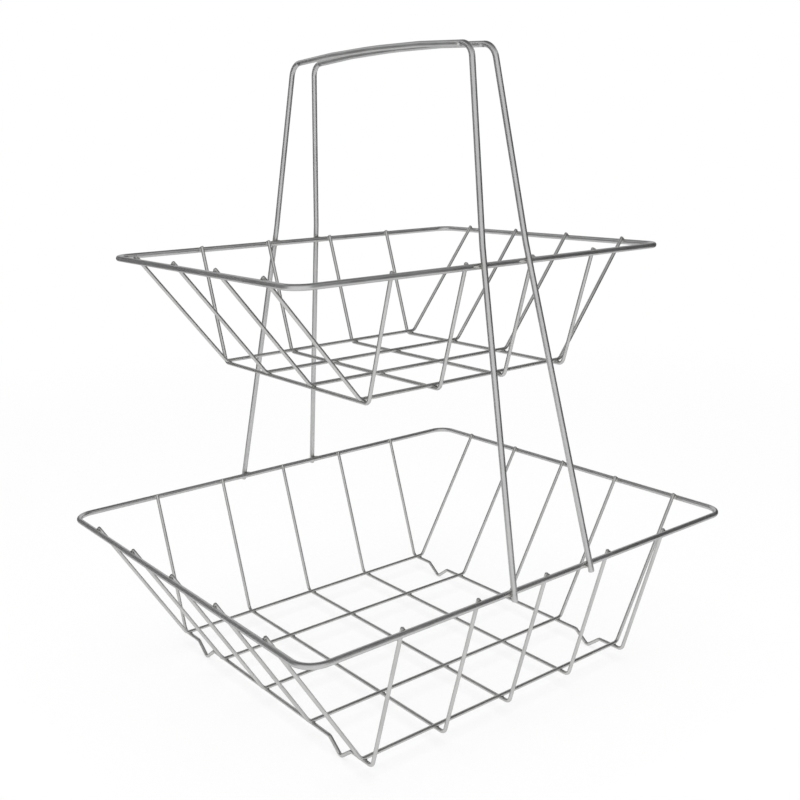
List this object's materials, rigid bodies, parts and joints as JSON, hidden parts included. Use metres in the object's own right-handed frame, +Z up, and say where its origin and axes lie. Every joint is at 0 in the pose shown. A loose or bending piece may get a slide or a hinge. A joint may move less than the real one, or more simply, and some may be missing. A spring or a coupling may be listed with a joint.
{
  "type": "two-tier wire basket",
  "caption": "Free-standing chromed wire basket with a larger lower tray and a smaller upper tray, carried by two handle hoops that nearly meet at the top.",
  "frame": {"origin": "on the table, in the middle between the four feet", "axes": "+Z up, X along the baskets' long sides, Y across them; the two handle hoops stand left and right of the plane x = 0"},
  "size_m": [0.4042, 0.3558, 0.4818],
  "materials": {
    "frame_wire": "bright chrome plating on round steel wire, gauge 8",
    "basket_wire": "bright chrome plating on round steel wire, gauge 12",
    "weld": "plated weld bead"
  },
  "bodies": {
    "root": {"lower_rim": "frame_wire", "upper_rim": "frame_wire", "lower_long_wire_1": "basket_wire", "lower_long_wire_2": "basket_wire", "lower_long_wire_3": "basket_wire", "lower_long_wire_4": "basket_wire", "lower_long_wire_5": "basket_wire", "upper_long_wire_1": "basket_wire", "upper_long_wire_2": "basket_wire", "upper_long_wire_3": "basket_wire", "upper_long_wire_4": "basket_wire", "lower_cross_wire_1": "basket_wire", "lower_cross_wire_2": "basket_wire", "lower_cross_wire_3": "basket_wire", "lower_cross_wire_4": "basket_wire", "lower_cross_wire_5": "basket_wire", "upper_cross_wire_1": "basket_wire", "upper_cross_wire_2": "basket_wire", "upper_cross_wire_3": "basket_wire", "upper_cross_wire_4": "basket_wire", "handle_left": "frame_wire", "handle_right": "frame_wire", "lower_handle_welds": "weld", "upper_handle_welds": "weld"}
  },
  "joints": []
}
